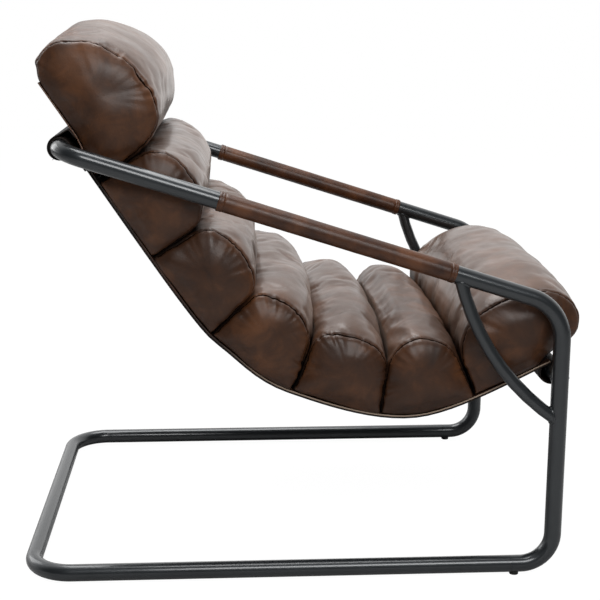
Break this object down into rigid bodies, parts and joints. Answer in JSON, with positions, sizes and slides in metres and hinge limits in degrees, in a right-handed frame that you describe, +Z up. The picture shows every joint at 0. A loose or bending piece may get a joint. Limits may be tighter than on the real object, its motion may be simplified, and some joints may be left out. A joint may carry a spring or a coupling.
{
  "type": "lounge chair",
  "caption": "Lounge chair with a bent round-tube frame, a leather sling hung between a top and a front bar, tufted leather channel rolls on it and leather sleeves on the arms.",
  "frame": {"origin": "on the floor, under the centre of the chair's overall box", "axes": "the sitter faces -Y, the sitter's left is +X, +Z is up"},
  "size_m": [0.654, 0.8432, 0.8147],
  "materials": {
    "frame_steel": "dark gunmetal satin powder coat",
    "joint_zinc": "zinc plated",
    "nylon": "black nylon",
    "sleeve_leather": "waxed brown leather",
    "sling_leather": "dark saddle leather",
    "cushion_leather": "burnished brown leather with a soft sheen"
  },
  "bodies": {
    "root": {"floor_tube": "frame_steel", "top_cross_tube": "frame_steel", "front_cross_tube": "frame_steel", "right_side_tube": "frame_steel", "right_brace": "frame_steel", "left_side_tube": "frame_steel", "left_brace": "frame_steel", "right_floor_spigot": "joint_zinc", "right_top_spigot": "joint_zinc", "right_top_set_screw": "joint_zinc", "right_floor_screw": "joint_zinc", "left_floor_spigot": "joint_zinc", "left_top_spigot": "joint_zinc", "left_top_set_screw": "joint_zinc", "left_floor_screw": "joint_zinc", "right_front_glide": "nylon", "right_rear_glide": "nylon", "left_front_glide": "nylon", "left_rear_glide": "nylon", "right_arm_sleeve": "sleeve_leather", "left_arm_sleeve": "sleeve_leather", "sling": "sling_leather", "cushion_underside": "cushion_leather", "hanging_loop": "cushion_leather", "headrest_roll": "cushion_leather", "channel_roll_1": "cushion_leather", "channel_roll_2": "cushion_leather", "channel_roll_3": "cushion_leather", "channel_roll_4": "cushion_leather", "channel_roll_5": "cushion_leather", "front_roll": "cushion_leather"}
  },
  "joints": []
}
